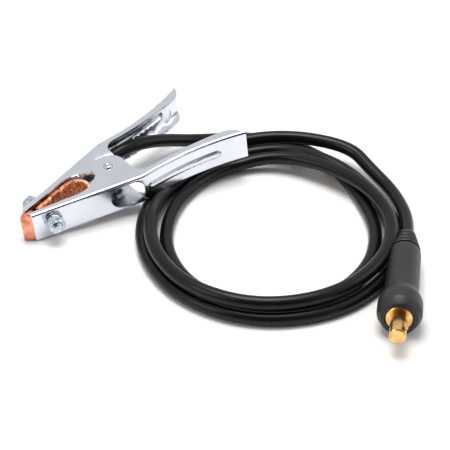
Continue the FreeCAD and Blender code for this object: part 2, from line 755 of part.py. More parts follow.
# ---- check and write --------------------------------------------------------------------

doc.recompute()
for thing in doc.Objects:
    if "Invalid" in thing.State or "Error" in thing.State:
        raise RuntimeError(thing.Name + " failed: " + str(thing.State))
os.makedirs("parts", exist_ok=True)
for name, thing in nodes.items():
    shape = thing.Shape
    if shape.isNull() or not shape.isValid() or shape.Volume < 1:
        raise RuntimeError(name + " has no valid solid")
    print("%-20s solids %d volume %9.1f" % (name, len(shape.Solids), shape.Volume),
          "x %.1f..%.1f y %.1f..%.1f z %.1f..%.1f" % (
              shape.BoundBox.XMin, shape.BoundBox.XMax, shape.BoundBox.YMin,
              shape.BoundBox.YMax, shape.BoundBox.ZMin, shape.BoundBox.ZMax))
    shape.exportStep("parts/" + name + ".step")
print("nodes", len(nodes))
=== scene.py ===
import json
import math

import bpy
from mathutils import Matrix, Vector


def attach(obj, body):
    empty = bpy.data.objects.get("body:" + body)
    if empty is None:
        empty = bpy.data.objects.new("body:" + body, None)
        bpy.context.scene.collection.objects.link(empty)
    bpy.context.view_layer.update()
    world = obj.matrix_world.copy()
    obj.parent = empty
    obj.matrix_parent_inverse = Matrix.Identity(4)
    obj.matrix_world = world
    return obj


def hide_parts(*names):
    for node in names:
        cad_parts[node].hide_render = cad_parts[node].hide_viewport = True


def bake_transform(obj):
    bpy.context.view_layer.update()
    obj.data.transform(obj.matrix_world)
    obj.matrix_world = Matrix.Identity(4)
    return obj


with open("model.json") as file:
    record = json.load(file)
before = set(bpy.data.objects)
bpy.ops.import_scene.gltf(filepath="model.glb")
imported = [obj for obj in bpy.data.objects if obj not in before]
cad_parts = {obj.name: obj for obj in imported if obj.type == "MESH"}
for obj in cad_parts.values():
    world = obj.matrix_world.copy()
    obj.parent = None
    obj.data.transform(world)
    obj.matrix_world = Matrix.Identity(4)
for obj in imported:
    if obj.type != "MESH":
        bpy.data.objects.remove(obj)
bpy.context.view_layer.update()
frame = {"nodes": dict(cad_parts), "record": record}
scene = bpy.context.scene
mm = 0.001
bodyOf = {node: body for body, nodes in frame["record"]["behaviour"]["bodies"].items() for node in nodes}

# The clamp's own frame: x from the jaws to the handles, y towards the far arm, z along the rivet
hinge = frame["record"]["behaviour"]["joints"][0]
rivetWay = Vector(hinge["axis"]).normalized()
alongClamp = Vector((0, 1, 0)).cross(rivetWay).normalized()
clampFrame = Matrix((alongClamp, (0, 1, 0), rivetWay)).transposed().to_4x4()
clampFrame.translation = Vector(hinge["pos_m"])

# Jaw web: x along it towards the rivet, y outwards, from a point 72 mm in front of the rivet
jawWeb = {"reach": 72.0 * mm, "halfWidth": 10.04 * mm, "slope": 14.586}
webFrame = Matrix.Translation((-jawWeb["reach"], jawWeb["halfWidth"], 0))
webFrame @= Matrix.Rotation(math.radians(jawWeb["slope"]), 4, "Z")
sideFrame = {"far": clampFrame, "near": clampFrame @ Matrix.Rotation(math.pi, 4, "X")}
# The near arm is upside down, so its bolt's lift turns round
boltSeat = {"along": 6.0 * mm, "lift": {"far": 2.4 * mm, "near": -2.4 * mm}}
boltFrame = {side: sideFrame[side] @ webFrame @ Matrix.Translation((boltSeat["along"], 0, lift))
             for side, lift in boltSeat["lift"].items()}


# Small helpers for pieces and node trees

def makeActive(piece):
    bpy.ops.object.select_all(action="DESELECT")
    piece.select_set(True)
    bpy.context.view_layer.objects.active = piece


def inEditMode(piece, *steps):
    makeActive(piece)
    bpy.ops.object.mode_set(mode="EDIT")
    bpy.ops.mesh.select_all(action="SELECT")
    for step in steps:
        step()
    bpy.ops.object.mode_set(mode="OBJECT")


def addModifier(piece, kind, **settings):
    makeActive(piece)
    modifier = piece.modifiers.new(kind.title(), kind)
    for name, value in settings.items():
        setattr(modifier, name, value)
    bpy.ops.object.modifier_apply(modifier=modifier.name)


def addMesh(name, points, edges, faces):
    mesh = bpy.data.meshes.new(name)
    mesh.from_pydata(points, edges, faces)
    piece = bpy.data.objects.new(name, mesh)
    scene.collection.objects.link(piece)
    return piece


def linear(hexText):
    parts = [int(hexText[i:i + 2], 16) / 255 for i in (1, 3, 5)]
    return [p / 12.92 if p <= 0.04045 else ((p + 0.055) / 1.055) ** 2.4 for p in parts] + [1]


def addNode(material, kind, links=None, **settings):
    node = material.node_tree.nodes.new("ShaderNode" + kind)
    for name, value in settings.items():
        setattr(node, name, value)
    for name, value in (links or {}).items():
        if isinstance(value, bpy.types.NodeSocket):
            material.node_tree.links.new(value, node.inputs[name])
        else:
            node.inputs[name].default_value = value
    return node


def newMaterial(name):
    material = bpy.data.materials.new(name)
    material.use_nodes = True
    material.node_tree.nodes.clear()
    return material


def finishMaterial(material, shader, bump=None):
    if bump is not None:
        material.node_tree.links.new(bump.outputs["Normal"], shader.inputs["Normal"])
    output = addNode(material, "OutputMaterial")
    material.node_tree.links.new(shader.outputs["BSDF"], output.inputs["Surface"])
    return material


def rampOf(material, factor, stops):
    ramp = addNode(material, "ValToRGB", {"Fac": factor})
    while len(ramp.color_ramp.elements) < len(stops):
        ramp.color_ramp.elements.new(0.5)
    for element, (place, colour) in zip(ramp.color_ramp.elements, stops):
        element.position, element.color = place, colour
    return ramp.outputs["Color"]


# Camera: a long lens high on the side of the jaws and the near arm, looking down over clamp and cable

camera = {"lens": 132, "elevation": 36, "heading": 50, "distance": 1.356, "aim": (0.0415, -0.0873, 0)}
lookUp, lookRound = math.radians(camera["elevation"]), math.radians(camera["heading"])
lookWay = Vector((math.cos(lookRound) * math.cos(lookUp), math.sin(lookRound) * math.cos(lookUp),
                  -math.sin(lookUp)))
cameraData = bpy.data.cameras.new("camera")
cameraData.lens = camera["lens"]
cameraData.clip_end = 20
cameraObject = bpy.data.objects.new("camera", cameraData)
cameraObject.location = Vector(camera["aim"]) - lookWay * camera["distance"]
cameraObject.rotation_euler = lookWay.to_track_quat("-Z", "Y").to_euler()
scene.collection.objects.link(cameraObject)
scene.camera = cameraObject
print("camera placed")


# Cord: from the lug, between the handles, three loose turns, and round to the plug

cord = {
    "radius": 5.6 * mm,
    "floorLine": 5.7 * mm,
    "exit": (70.55 * mm, -9.4 * mm, 0),      # on the jaw web's frame
    "straight": 19 * mm,
    "plugFront": (47.7 * mm, -281.5 * mm, 18.42 * mm),
    "plugLength": 114 * mm,
    "plugStraight": 21 * mm,                 # straight run into the plug
    "plugHeading": -138.0,
    "plugRise": 3.2,
}
# Three loose turns, clockwise seen from above; four values are for the start of each turn and the end
coil = {
    "middle": (0.060, -0.118),
    "reach": (84, 99, 108, 115),             # from the middle, in mm
    "oval": (10, 5, 9, 1),                   # longer one way than the other
    "ovalWay": 40,
    "along": (3, 1, 1, 9),                   # each turn's own middle wanders a little
    "across": (-12, -9, -6, -6),
    "tuck": (0, 14, 18, 1),                  # drawn in where the cable joins and leaves the turns
    "tuckWay": 8,
    "tuckSpread": 34,
    "step": 30,
    "rises": ((345, 600, 12), (706, 726, 12), (1034, 1090, 13)),    # from, to, lift in mm
    "shoulder": 36,
}


def mixed(values, turns):
    low = min(int(turns), len(values) - 2)
    share = turns - low
    return values[low] * (1 - share) + values[low + 1] * share


def coilPoint(swept):
    turns = swept / 360
    way = math.radians(15 - swept)
    reach = mixed(coil["reach"], turns)
    reach += mixed(coil["oval"], turns) * math.cos(2 * (way - math.radians(coil["ovalWay"])))
    reach += mixed(coil["along"], turns) * math.cos(way) + mixed(coil["across"], turns) * math.sin(way)
    fromTuck = (math.degrees(way) - coil["tuckWay"] + 180) % 360 - 180
    reach -= mixed(coil["tuck"], turns) * math.exp(-(fromTuck / coil["tuckSpread"]) ** 2)
    lift = 0
    for start, end, height in coil["rises"]:
        near = min(swept - start, end - swept) / coil["shoulder"] + 1
        near = max(0, min(1, near))
        lift = max(lift, height * near * near * (3 - 2 * near))
    reach *= mm / math.cos(math.radians(coil["step"] / 2))      # the line passes inside its points
    return (coil["middle"][0] + reach * math.cos(way), coil["middle"][1] + reach * math.sin(way),
            cord["floorLine"] + lift * mm)


lugFrame = clampFrame @ webFrame
lugExit = lugFrame @ Vector(cord["exit"])
lugWay = lugFrame.to_3x3() @ Vector((1, 0, 0))
plugTurn, plugRise = math.radians(cord["plugHeading"]), math.radians(cord["plugRise"])
plugWay = Vector((math.cos(plugTurn) * math.cos(plugRise), math.sin(plugTurn) * math.cos(plugRise),
                  math.sin(plugRise)))
plugRear = Vector(cord["plugFront"]) - plugWay * cord["plugLength"]
plugFrame = Matrix.Translation(plugRear) @ plugWay.to_track_quat("Z", "Y").to_matrix().to_4x4()

leadRoute = [
    tuple(lugExit), tuple(lugExit + lugWay * cord["straight"]), (0.0262, 0.0226, 0.0276),
    (0.0482, 0.0216, 0.0249), (0.0692, 0.0210, 0.0176), (0.0882, 0.0192, 0.0102),
    (0.1052, 0.0135, 0.0064), (0.1212, 0.0040, 0.0057), (0.1362, -0.0080, 0.0057),
    (0.1490, -0.0230, 0.0057), (0.1578, -0.0410, 0.0057), (0.1625, -0.0615, 0.0057),
    (0.1640, -0.0850, 0.0057),
]
coilRoute = [coilPoint(swept) for swept in range(30, 1081, coil["step"])]
tailRoute = [
    (0.177, -0.119, 0.012), (0.174, -0.145, 0.008), (0.162, -0.171, 0.009),
    tuple(plugRear - plugWay * cord["plugStraight"]), tuple(plugRear),
]


def makeCord():
    curve = bpy.data.curves.new("weldingCable", "CURVE")
    curve.dimensions = "3D"
    spline = curve.splines.new("NURBS")
    route = leadRoute + coilRoute + tailRoute
    spline.points.add(len(route) - 1)
    for point, place in zip(spline.points, route):
        point.co = (*place, 1)
    spline.order_u = 3
    spline.use_endpoint_u = True
    curve.resolution_u = 10
    curve.bevel_depth = cord["radius"]
    curve.bevel_resolution = 7
    curve.use_fill_caps = True
    piece = bpy.data.objects.new("weldingCable", curve)
    scene.collection.objects.link(piece)
    return piece


def lineLength(piece):
    plain = piece.data.copy()
    plain.bevel_depth = 0
    holder = bpy.data.objects.new("cordLine", plain)
    line = bpy.data.meshes.new_from_object(holder)
    places = [v.co.copy() for v in line.vertices]
    bpy.data.objects.remove(holder)
    bpy.data.meshes.remove(line)
    bpy.data.curves.remove(plain)
    return sum((b - a).length for a, b in zip(places, places[1:]))


cable = makeCord()
cableLength = round(lineLength(cable), 3)
print("cord made, length", cableLength)


# Materials, one function each

def zincSheet():
    # Cold rolled steel with a clear blue zinc electroplate: bright, even and satin, with a fine
    # mottle from the plating bath that breaks up its reflections
    material = newMaterial("zincPlatedRolledSteel")
    place = addNode(material, "TexCoord").outputs["Object"]
    mottle = addNode(material, "TexNoise", {"Vector": place, "Scale": 700.0, "Detail": 3.0})
    cloud = addNode(material, "TexNoise", {"Vector": place, "Scale": 30.0, "Detail": 3.0})
    tone = rampOf(material, cloud.outputs["Fac"], [(0.3, linear("#D6DAE4")), (0.75, linear("#E2E5ED"))])
    rough = addNode(material, "MapRange", {"Value": cloud.outputs["Fac"], "To Min": 0.17, "To Max": 0.24})
    bump = addNode(material, "Bump", {"Height": mottle.outputs["Fac"], "Strength": 0.06,
                                      "Distance": 0.05 * mm})
    shader = addNode(material, "BsdfPrincipled", {"Base Color": tone, "Metallic": 1.0,
                                                  "Roughness": rough.outputs["Result"]})
    return finishMaterial(material, shader, bump)


def zincHardware():
    # Cold headed and plated fasteners: a bluer, darker plate, slightly uneven from tumbling
    material = newMaterial("zincPlatedFasteners")
    place = addNode(material, "TexCoord").outputs["Object"]
    cloud = addNode(material, "TexNoise", {"Vector": place, "Scale": 420.0, "Detail": 5.0})
    tone = rampOf(material, cloud.outputs["Fac"], [(0.3, linear("#8FA0AC")), (0.7, linear("#D9DEE4"))])
    rough = addNode(material, "MapRange", {"Value": cloud.outputs["Fac"], "To Min": 0.16, "To Max": 0.34})
    bump = addNode(material, "Bump", {"Height": cloud.outputs["Fac"], "Strength": 0.12,
                                      "Distance": 0.05 * mm})
    shader = addNode(material, "BsdfPrincipled", {"Base Color": tone, "Metallic": 1.0,
                                                  "Roughness": rough.outputs["Result"]})
    return finishMaterial(material, shader, bump)


def springWire():
    # Hard drawn spring wire, zinc plated: darker than the sheet, with drawing lines
    material = newMaterial("platedSpringWire")
    place = addNode(material, "TexCoord").outputs["Object"]
    streak = addNode(material, "TexNoise", {"Vector": place, "Scale": 900.0, "Detail": 2.0})
    tone = rampOf(material, streak.outputs["Fac"], [(0.3, linear("#7F868F")), (0.7, linear("#B9C0C8"))])
    bump = addNode(material, "Bump", {"Height": streak.outputs["Fac"], "Strength": 0.15,
                                      "Distance": 0.03 * mm})
    shader = addNode(material, "BsdfPrincipled", {"Base Color": tone, "Metallic": 1.0, "Roughness": 0.28})
    return finishMaterial(material, shader, bump)


def copperStrip():
    # Bare copper strip, pressed: pink and satin on the faces, browner where it is handled
    material = newMaterial("pressedCopperStrip")
    place = addNode(material, "TexCoord").outputs["Object"]
    cloud = addNode(material, "TexNoise", {"Vector": place, "Scale": 160.0, "Detail": 5.0})
    tone = rampOf(material, cloud.outputs["Fac"], [(0.3, linear("#C4785A")), (0.6, linear("#EDA58C"))])
    drawn = addNode(material, "Mapping", {"Vector": place, "Scale": (300, 300, 3000)})
    lines = addNode(material, "TexNoise", {"Vector": drawn.outputs["Vector"], "Scale": 1.0, "Detail": 3.0})
    rough = addNode(material, "MapRange", {"Value": lines.outputs["Fac"], "To Min": 0.26, "To Max": 0.45})
    bump = addNode(material, "Bump", {"Height": lines.outputs["Fac"], "Strength": 0.10,
                                      "Distance": 0.03 * mm})
    shader = addNode(material, "BsdfPrincipled", {"Base Color": tone, "Metallic": 1.0,
                                                  "Roughness": rough.outputs["Result"]})
    return finishMaterial(material, shader, bump)


def copperBraidWire():
    # Braid of fine bare copper wires: bright along each bundle, with painted shade darkening the gaps
    # between its wires and a pale end of its tone that is painted highlight.
    # Real wires are 0.2 mm; each bundle is drawn with six of 0.5 mm so that they show
    material = newMaterial("braidedCopperWire")
    across = addNode(material, "UVMap", uv_map="bundle").outputs["UV"]
    wires = addNode(material, "TexWave", {"Vector": across, "Scale": 1.91, "Distortion": 0.4,
                                          "Detail": 1.0}, bands_direction="X")
    place = addNode(material, "TexCoord").outputs["Object"]
    cloud = addNode(material, "TexNoise", {"Vector": place, "Scale": 350.0, "Detail": 3.0})
    # Painted highlight: the palest stops of this tone stand in for highlights on the bundles, spread at
    # random by the noise
    tone = rampOf(material, cloud.outputs["Fac"], [(0.25, linear("#EB8A60")), (0.5, linear("#FFB78C")),
                                                   (0.75, linear("#FFE2C4"))])
    # Painted shade: the colour drops to a brownish grey in the gaps between the wires
    wireGapShade = rampOf(material, wires.outputs["Fac"], [(0.0, (0.75, 0.68, 0.62, 1)), (0.45, (1, 1, 1, 1))])
    colour = addNode(material, "MixRGB", {"Fac": 1.0, "Color1": tone, "Color2": wireGapShade}, blend_type="MULTIPLY")
    bump = addNode(material, "Bump", {"Height": wires.outputs["Fac"], "Strength": 0.6,
                                      "Distance": 0.12 * mm})
    shader = addNode(material, "BsdfPrincipled", {"Base Color": colour.outputs["Color"], "Metallic": 1.0,
                                                  "Roughness": 0.40})
    return finishMaterial(material, shader, bump)


def strandedCopper():
    # Bare stranded conductor, seen only where the jacket stops
    material = newMaterial("strandedCopperCore")
    place = addNode(material, "TexCoord").outputs["Object"]
    strands = addNode(material, "TexNoise", {"Vector": place, "Scale": 1200.0, "Detail": 2.0})
    tone = rampOf(material, strands.outputs["Fac"], [(0.35, linear("#8E4526")), (0.65, linear("#E39063"))])
    bump = addNode(material, "Bump", {"Height": strands.outputs["Fac"], "Strength": 0.5,
                                      "Distance": 0.2 * mm})
    shader = addNode(material, "BsdfPrincipled", {"Base Color": tone, "Metallic": 1.0, "Roughness": 0.35})
    return finishMaterial(material, shader, bump)


def tinnedCopper():
    # Copper tube lug with a matte electro-tin finish: soft white grey
    material = newMaterial("tinPlatedCopperLug")
    place = addNode(material, "TexCoord").outputs["Object"]
    cloud = addNode(material, "TexNoise", {"Vector": place, "Scale": 300.0, "Detail": 5.0})
    tone = rampOf(material, cloud.outputs["Fac"], [(0.3, linear("#A9ABAE")), (0.7, linear("#E2E3E4"))])
    bump = addNode(material, "Bump", {"Height": cloud.outputs["Fac"], "Strength": 0.2,
                                      "Distance": 0.06 * mm})
    shader = addNode(material, "BsdfPrincipled", {"Base Color": tone, "Metallic": 1.0, "Roughness": 0.34})
    return finishMaterial(material, shader, bump)


def cableJacket():
    # Extruded rubber jacket: near black, satin, with a very shallow ripple from the core beneath
    material = newMaterial("extrudedRubberJacket")
    place = addNode(material, "TexCoord").outputs["Object"]
    ripple = addNode(material, "TexNoise", {"Vector": place, "Scale": 90.0, "Detail": 3.0})
    grain = addNode(material, "TexNoise", {"Vector": place, "Scale": 2600.0, "Detail": 2.0})
    tone = rampOf(material, ripple.outputs["Fac"], [(0.3, linear("#0B0B0B")), (0.7, linear("#121111"))])
    rough = addNode(material, "MapRange", {"Value": grain.outputs["Fac"], "To Min": 0.24, "To Max": 0.34})
    coarse = addNode(material, "Bump", {"Height": ripple.outputs["Fac"], "Strength": 0.06,
                                        "Distance": 0.3 * mm})
    bump = addNode(material, "Bump", {"Height": grain.outputs["Fac"], "Strength": 0.05,
                                      "Distance": 0.05 * mm, "Normal": coarse.outputs["Normal"]})
    shader = addNode(material, "BsdfPrincipled", {"Base Color": tone, "Roughness": rough.outputs["Result"],
                                                  "Specular IOR Level": 0.24})
    return finishMaterial(material, shader, bump)


def plugRubber():
    # Moulded rubber: matte, fine spark-eroded texture, a little lighter than the cable
    material = newMaterial("mouldedRubber")
    place = addNode(material, "TexCoord").outputs["Object"]
    grain = addNode(material, "TexNoise", {"Vector": place, "Scale": 1600.0, "Detail": 4.0})
    cloud = addNode(material, "TexNoise", {"Vector": place, "Scale": 60.0, "Detail": 3.0})
    tone = rampOf(material, cloud.outputs["Fac"], [(0.3, linear("#141415")), (0.7, linear("#1D1D1E"))])
    rough = addNode(material, "MapRange", {"Value": grain.outputs["Fac"], "To Min": 0.40, "To Max": 0.52})
    bump = addNode(material, "Bump", {"Height": grain.outputs["Fac"], "Strength": 0.25,
                                      "Distance": 0.08 * mm})
    shader = addNode(material, "BsdfPrincipled", {"Base Color": tone, "Roughness": rough.outputs["Result"],
                                                  "IOR": 1.5})
    return finishMaterial(material, shader, bump)


def turnedBrass():
    # Free-cutting brass, turned: yellow, bright, with fine rings left by the tool
    material = newMaterial("turnedBrass")
    place = addNode(material, "TexCoord").outputs["Object"]
    turned = addNode(material, "Mapping", {"Vector": place, "Location": tuple(-plugRear)})
    along = addNode(material, "VectorMath", {0: turned.outputs["Vector"], 1: tuple(plugWay)},
                    operation="DOT_PRODUCT")
    rings = addNode(material, "TexNoise", {"W": along.outputs["Value"], "Scale": 2500.0, "Detail": 2.0},
                    noise_dimensions="1D")
    cloud = addNode(material, "TexNoise", {"Vector": place, "Scale": 200.0, "Detail": 4.0})
    tone = rampOf(material, cloud.outputs["Fac"], [(0.3, linear("#D9A860")), (0.7, linear("#F3CB8C"))])
    rough = addNode(material, "MapRange", {"Value": rings.outputs["Fac"], "To Min": 0.16, "To Max": 0.30})
    bump = addNode(material, "Bump", {"Height": rings.outputs["Fac"], "Strength": 0.2,
                                      "Distance": 0.03 * mm})
    shader = addNode(material, "BsdfPrincipled", {"Base Color": tone, "Metallic": 1.0,
                                                  "Roughness": rough.outputs["Result"]})
    return finishMaterial(material, shader, bump)


materials = {
    "zinc_steel": zincSheet(), "zinc_hardware": zincHardware(), "spring_steel": springWire(),
    "copper_strip": copperStrip(), "copper_braid": copperBraidWire(), "copper_wire": strandedCopper(),
    "tinned_copper": tinnedCopper(), "cable_rubber": cableJacket(), "plug_rubber": plugRubber(),
    "brass": turnedBrass(),
}
print("materials made")


def settle(piece, slotName, node, *more):
    # Gives a finished piece its material and its body, and hides the node that it stands for
    piece.data.materials.clear()
    piece.data.materials.append(materials[slotName])
    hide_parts(node, *more)
    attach(piece, bodyOf[node])
    return piece


settle(cable, "cable_rubber", "cable_coil", "cable_lead", "cable_tail")


# Stamped, pressed and machined pieces, carried over from the frame with softened edges

carried = {
    # node: (piece, slot, edge radius in mm)
    "far_arm": ("farArm", "zinc_steel", 0),
    "near_arm": ("nearArm", "zinc_steel", 0),
    "far_jaw_pad": ("farJawPad", "copper_strip", 0.3),
    "near_jaw_pad": ("nearJawPad", "copper_strip", 0.3),
    "far_braid_ferrule": ("farBraidFerrule", "copper_strip", 0.25),
    "near_braid_ferrule": ("nearBraidFerrule", "copper_strip", 0.25),
    "far_flat_washer": ("farFlatWasher", "zinc_hardware", 0.2),
    "near_flat_washer": ("nearFlatWasher", "zinc_hardware", 0.2),
    "far_spring_washer": ("farSpringWasher", "zinc_hardware", 0.15),
    "near_spring_washer": ("nearSpringWasher", "zinc_hardware", 0.15),
    "far_jaw_nut": ("farJawNut", "zinc_hardware", 0.3),
    "near_jaw_nut": ("nearJawNut", "zinc_hardware", 0.3),
    "pivot_sleeve": ("pivotSleeve", "zinc_hardware", 0.2),
    "cable_lug": ("cableLug", "tinned_copper", 0.3),
    "plug_pin": ("plugPin", "brass", 0.3),
    "plug_grub_screw": ("plugGrubScrew", "spring_steel", 0.2),
}


def carryOver(node, name, slotName, edge):
    source = frame["nodes"][node]
    piece = bpy.data.objects.new(name, source.data.copy())
    scene.collection.objects.link(piece)
    piece.data.transform(source.matrix_world)
    inEditMode(piece, lambda: bpy.ops.mesh.remove_doubles(threshold=0.002 * mm))
    if edge:
        inEditMode(piece, lambda: bpy.ops.mesh.dissolve_limited(angle_limit=math.radians(0.6)))
        addModifier(piece, "BEVEL", width=edge * mm, segments=2, angle_limit=math.radians(38),
                    use_clamp_overlap=True)
    makeActive(piece)
    bpy.ops.object.shade_smooth_by_angle(angle=math.radians(36))
    addModifier(piece, "WEIGHTED_NORMAL", weight=100, keep_sharp=True)
    return settle(piece, slotName, node)


pieces = {node: carryOver(node, *facts) for node, facts in carried.items()}
print("carried over", len(pieces))


# Turned pieces

def turnPiece(name, profile, place, steps=64):
    # A turned solid: the profile's points are (radius, height) in mm, spun about z
    count = len(profile)
    piece = addMesh(name, [(r * mm, 0, h * mm) for r, h in profile],
                    [(i, i + 1) for i in range(count - 1)], [])
    inEditMode(piece,
               lambda: bpy.ops.mesh.spin(steps=steps, angle=2 * math.pi, center=(0, 0, 0), axis=(0, 0, 1)),
               lambda: bpy.ops.mesh.select_all(action="SELECT"),
               lambda: bpy.ops.mesh.remove_doubles(threshold=0.002 * mm),
               lambda: bpy.ops.mesh.normals_make_consistent(inside=False))
    piece.data.transform(place)
    makeActive(piece)
    bpy.ops.object.shade_smooth_by_angle(angle=math.radians(40))
    return piece


bolt = {"radius": 4.0, "root": 3.45, "pitch": 1.25, "seat": -3.65, "end": 12.15, "tip": 0.8,
        "headWidth": 12.0, "headHeight": 2.0}


def makeJawBolt(side):
    # Rolled thread on the free end, plain shank, thin hexagon head inside the pad
    profile = [(0, bolt["seat"] - 0.5), (bolt["radius"], bolt["seat"] - 0.5), (bolt["radius"], 1.0)]
    level = 1.2
    while level + bolt["pitch"] < bolt["end"]:
        profile += [(bolt["root"], level + bolt["pitch"] * 0.15),
                    (bolt["radius"], level + bolt["pitch"] * 0.5),
                    (bolt["radius"], level + bolt["pitch"] * 0.62),
                    (bolt["root"], level + bolt["pitch"])]
        level += bolt["pitch"]
    profile += [(bolt["radius"] - 0.15, bolt["end"]),
                (bolt["radius"] - bolt["tip"], bolt["end"] + bolt["tip"]),
                (0, bolt["end"] + bolt["tip"])]
    outwards = Matrix.Rotation(math.radians(-90), 4, "X")
    shank = turnPiece(side + "JawBolt", profile, outwards, 40)
    bpy.ops.object.select_all(action="DESELECT")
    bpy.ops.mesh.primitive_cylinder_add(
        vertices=6, radius=bolt["headWidth"] / 2 / math.cos(math.radians(30)) * mm,
        depth=bolt["headHeight"] * mm, location=(0, (bolt["seat"] - bolt["headHeight"] / 2) * mm, 0),
        rotation=(math.radians(90), 0, 0))
    head = bpy.context.object
    bpy.ops.object.transform_apply(location=True, rotation=True, scale=True)
    addModifier(head, "BEVEL", width=0.4 * mm, segments=2, angle_limit=math.radians(40))
    makeActive(shank)
    head.select_set(True)
    bpy.ops.object.join()
    shank.data.transform(boltFrame[side])
    bpy.ops.object.shade_smooth_by_angle(angle=math.radians(40))
    return settle(shank, "zinc_hardware", side + "_jaw_bolt")


for side in ("far", "near"):
    makeJawBolt(side)

rivet = {"radius": 2.5, "head": 4.0, "rise": 1.6, "seat": 13.55}


def makeRivet():
    # Domed head with a shallow dimple from the riveting punch, the same on both sides
    seat, rise, head = rivet["seat"], rivet["rise"], rivet["head"]
    half = [(0, seat + rise - 0.5), (1.0, seat + rise - 0.42), (1.6, seat + rise - 0.05),
            (2.2, seat + rise), (3.1, seat + rise - 0.3), (3.75, seat + rise - 0.8),
            (head, seat + 0.35), (head, seat), (rivet["radius"], seat)]
    profile = half + [(r, -h) for r, h in reversed(half)]
    return settle(turnPiece("pivotRivet", profile, clampFrame), "zinc_hardware", "pivot_rivet")


makeRivet()

sleeve = {"bore": 5.7, "tail": 7.7, "grip": 12.9, "collar": 17.3, "length": 114.0, "recess": 10.8,
          "brass": 8.7, "step": 67.9, "flatFrom": 30.0, "flatTo": 84.0, "flatDepth": 0.7,
          "flatRamp": 5.0}


def makePlugSleeve():
    # Moulded sleeve: four soft ribs at the tail, slim grip with two shallow flats, heavy collar
    tail, grip, collar, length = sleeve["tail"], sleeve["grip"], sleeve["collar"], sleeve["length"]
    profile = [(sleeve["bore"], 0), (tail - 0.8, 0), (tail - 0.2, 0.25), (tail, 0.9)]
    for rib in range(4):
        low, size = 1.0 + rib * 6.2, tail + rib * 1.35
        profile += [(size + 0.1, low + 0.6), (size + 0.5, low + 1.6), (size + 0.5, low + 2.8),
                    (size + 0.1, low + 3.5), (size - 1.5, low + 3.8), (size - 1.6, low + 4.5),
                    (size - 1.2, low + 5.3), (size + 0.3, low + 5.9)]
    profile += [(grip - 0.5, 26.4), (grip - 0.15, 27.4), (grip, 28.6)]
    profile += [(grip + 0.3 * share / 9, 28.6 + 53.9 * share / 9) for share in range(1, 10)]
    profile += [(grip + 0.35, length - 30.8), (grip + 0.7, length - 30.4), (grip + 1.0, length - 28.0),
                (grip + 2.6, length - 24.5), (collar - 0.5, length - 21.0), (collar - 0.1, length - 19.8),
                (collar, length - 18.0), (collar, length - 7.5), (collar - 0.15, length - 6.6),
                (collar - 0.6, length - 5.9), (collar - 2.9, length - 0.5), (collar - 3.4, length - 0.1),
                (collar - 3.8, length), (sleeve["recess"] + 0.4, length),
                (sleeve["recess"], length - 0.5), (sleeve["recess"], length - 5.0),
                (sleeve["brass"], length - 5.0), (sleeve["brass"], sleeve["step"]),
                (sleeve["bore"], sleeve["step"]), (sleeve["bore"], 0)]
    piece = turnPiece("plugSleeve", profile, Matrix.Identity(4), 96)
    outside, widest = grip - 1.0, grip + 0.4
    for vertex in piece.data.vertices:                 # two moulded flats on the grip
        place = vertex.co / mm
        reach = math.hypot(place.x, place.y)
        inside = min(place.z - sleeve["flatFrom"], sleeve["flatTo"] - place.z) / sleeve["flatRamp"]
        if reach > outside and inside > 0:
            limit = widest - sleeve["flatDepth"] * min(1, inside)
            if abs(place.y) > limit:
                vertex.co.y = math.copysign(limit, place.y) * mm
    piece.data.transform(plugFrame)
    return settle(piece, "plug_rubber", "plug_sleeve")


plugSleeve = makePlugSleeve()
print("turned pieces made")


# Spring: about four turns of wire round the sleeve, and a leg along each handle

spring = {"wire": 2.6, "radius": 8.6, "pitch": 3.1, "turns": 4, "leg": 44.5, "legAngle": 25.0}


def makeSpring():
    start = 90 + spring["legAngle"]
    turns = spring["turns"] + (360 - 2 * start) / 360
    rise = spring["pitch"] * turns
    steps = 96
    places = []
    for step in range(steps + 1):
        way = math.radians(start + 360 * turns * step / steps)
        places.append(Vector((spring["radius"] * math.cos(way), spring["radius"] * math.sin(way),
                              rise * (step / steps - 0.5))))
    for index, sign in ((0, 1), (-1, -1)):
        way = Vector((math.cos(math.radians(spring["legAngle"])),
                      sign * math.sin(math.radians(spring["legAngle"])), 0))
        leg = [places[index] + way * spring["leg"] * share for share in (0.12, 0.5, 1.0)]
        places = list(reversed(leg)) + places if index == 0 else places + leg
    curve = bpy.data.curves.new("torsionSpring", "CURVE")
    curve.dimensions = "3D"
    spline = curve.splines.new("NURBS")
    spline.points.add(len(places) - 1)
    for point, place in zip(spline.points, places):
        point.co = (*(place * mm), 1)
    spline.order_u = 3
    spline.use_endpoint_u = True
    curve.resolution_u = 3
    curve.bevel_depth = spring["wire"] / 2 * mm
    curve.bevel_resolution = 4
    curve.use_fill_caps = True
    holder = bpy.data.objects.new("springLine", curve)
    mesh = bpy.data.meshes.new_from_object(holder)
    bpy.data.objects.remove(holder)
    piece = bpy.data.objects.new("torsionSpring", mesh)
    scene.collection.objects.link(piece)
    mesh.transform(clampFrame)
    inEditMode(piece, lambda: bpy.ops.mesh.remove_doubles(threshold=0.002 * mm),
               lambda: bpy.ops.mesh.normals_make_consistent(inside=False))
    makeActive(piece)
    bpy.ops.object.shade_smooth_by_angle(angle=math.radians(50))
    mesh.materials.append(materials["spring_steel"])
    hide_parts("torsion_spring")
    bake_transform(piece)


makeSpring()


# Braid: flat tube of interlaced bundles that folds between the two jaws

braid = {
    "level": -7.6, "from": -1.5, "to": 38.0, "foldReach": -22.7,
    "halfHeight": 9.2, "halfThick": 0.95, "bundles": 11, "lean": 40.0,
    "width": 1.5, "thick": 0.42, "wave": 0.38, "sides": 6, "samples": 170,
    "straightSteps": 16, "halfFoldSteps": 24,
}


